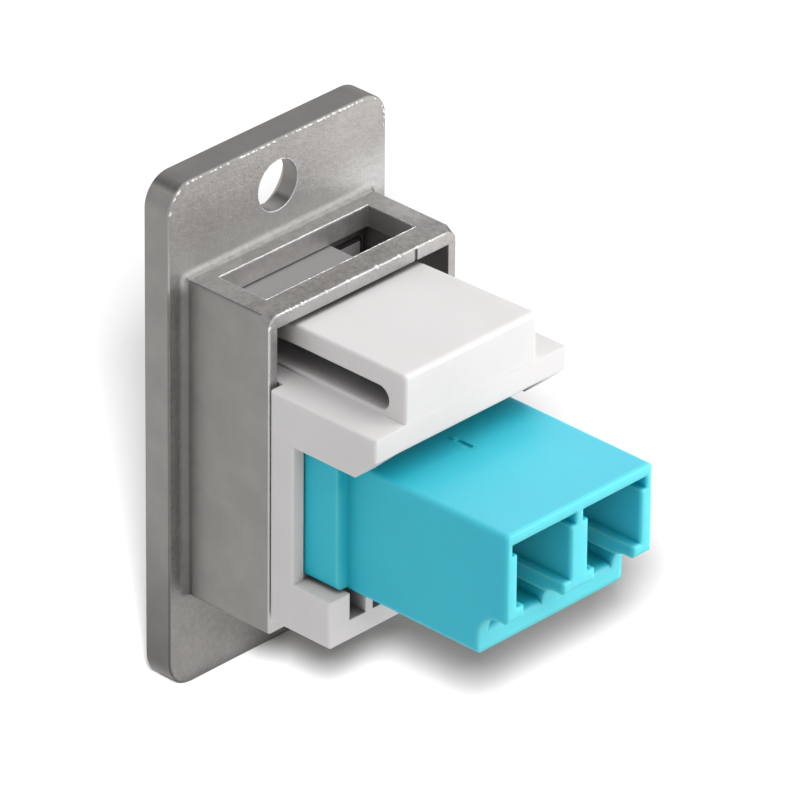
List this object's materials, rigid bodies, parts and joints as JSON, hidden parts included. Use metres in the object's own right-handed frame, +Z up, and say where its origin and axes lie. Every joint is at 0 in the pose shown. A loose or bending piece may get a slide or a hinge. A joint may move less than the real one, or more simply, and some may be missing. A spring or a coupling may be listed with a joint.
{
  "type": "lc fibre adapter",
  "caption": "Duplex fibre optic coupler in a white snap-in holder, held in a nickel-plated cast panel frame with a plate and two screw holes.",
  "frame": {"origin": "midway between the two screw holes, on the rear face of the plate that rests on the panel", "axes": "+Z up the plate towards the latch, +Y out of the panel's front, +X to the left seen from the front"},
  "size_m": [0.019, 0.0297, 0.0356],
  "materials": {
    "cast_nickel": "die-cast zinc with a satin nickel plating, slightly grainy",
    "white_plastic": "white satin moulded plastic",
    "aqua_plastic": "aqua satin moulded plastic",
    "zirconia": "ground white zirconia"
  },
  "bodies": {
    "root": {"panel_frame": "cast_nickel", "keystone_holder": "white_plastic", "adapter_body": "aqua_plastic", "sleeve_retainer_left": "aqua_plastic", "sleeve_retainer_right": "aqua_plastic", "split_sleeve_left": "zirconia", "split_sleeve_right": "zirconia"}
  },
  "joints": []
}
